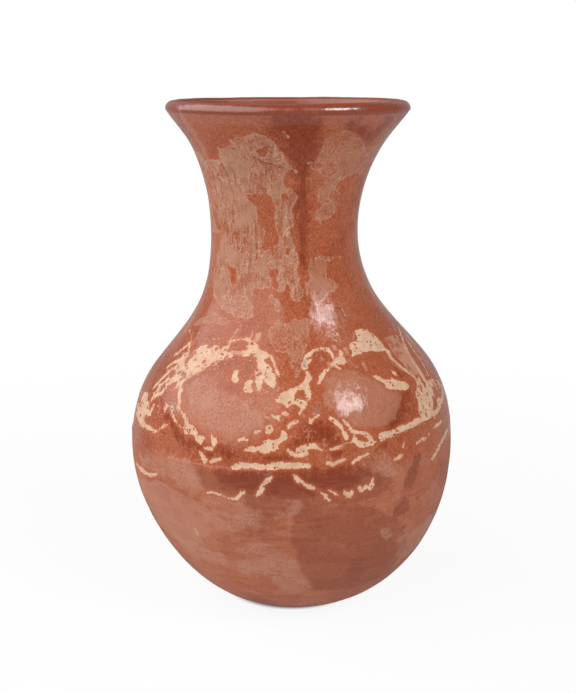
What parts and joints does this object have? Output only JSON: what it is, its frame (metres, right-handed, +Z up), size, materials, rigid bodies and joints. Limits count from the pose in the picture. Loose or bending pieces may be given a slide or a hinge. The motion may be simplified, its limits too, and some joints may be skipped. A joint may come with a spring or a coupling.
{
  "type": "pottery vase",
  "caption": "Tall-necked, round-bellied vase built of stacked clay coils, with a flared mouth and a flat base.",
  "frame": {"origin": "on the ground, straight under the centre of the belly's widest ring", "axes": "+Z up from the base to the mouth, -Y towards the side seen in the picture, +X to the right of that side"},
  "size_m": [0.19, 0.19, 0.2902],
  "materials": {
    "slipped_clay": "satin",
    "burnished_lip": "gloss"
  },
  "bodies": {
    "root": {"base_pad": "slipped_clay", "bowl_coil_1": "slipped_clay", "bowl_coil_2": "slipped_clay", "bowl_coil_3": "slipped_clay", "bowl_coil_4": "slipped_clay", "belly_coil_1": "slipped_clay", "belly_coil_2": "slipped_clay", "belly_coil_3": "slipped_clay", "shoulder_coil_1": "slipped_clay", "shoulder_coil_2": "slipped_clay", "shoulder_coil_3": "slipped_clay", "neck_coil_1": "slipped_clay", "neck_coil_2": "slipped_clay", "neck_coil_3": "slipped_clay", "flare_coil_1": "slipped_clay", "flare_coil_2": "slipped_clay", "lip_coil": "burnished_lip"}
  },
  "joints": []
}
